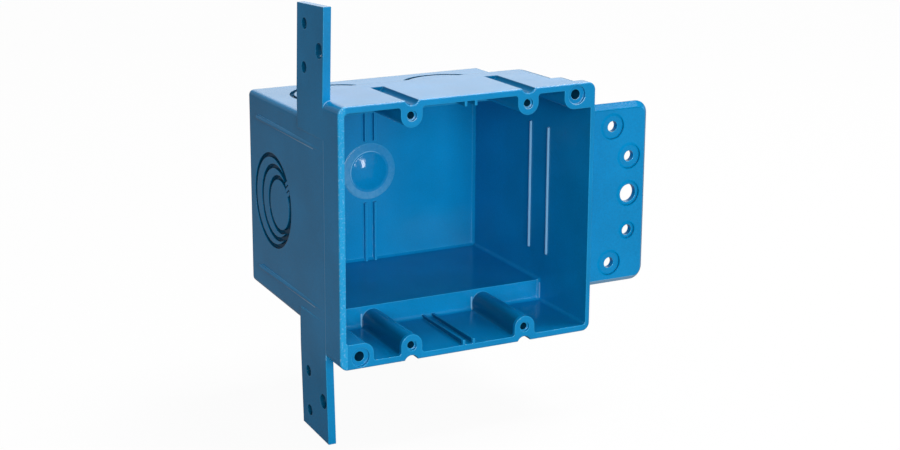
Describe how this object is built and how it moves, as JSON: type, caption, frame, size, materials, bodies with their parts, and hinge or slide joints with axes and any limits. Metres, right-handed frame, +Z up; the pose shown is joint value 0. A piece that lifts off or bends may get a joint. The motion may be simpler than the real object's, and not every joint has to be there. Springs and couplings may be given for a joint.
{
  "type": "switch box",
  "caption": "Two-gang new-work plastic wall box for switches and receptacles, with a nailing strap along one side, a bracket flange on the other and round knockouts.",
  "frame": {"origin": "midway between the four device screws, in the plane of the front rim", "axes": "+Z up, -Y out of the front opening, +X to the flange side; the strap side faces -X"},
  "size_m": [0.1332, 0.0857, 0.1584],
  "materials": {
    "box_pvc": "slightly glossy moulded PVC with a fine grain"
  },
  "bodies": {
    "root": {"switch_box": "box_pvc"}
  },
  "joints": []
}
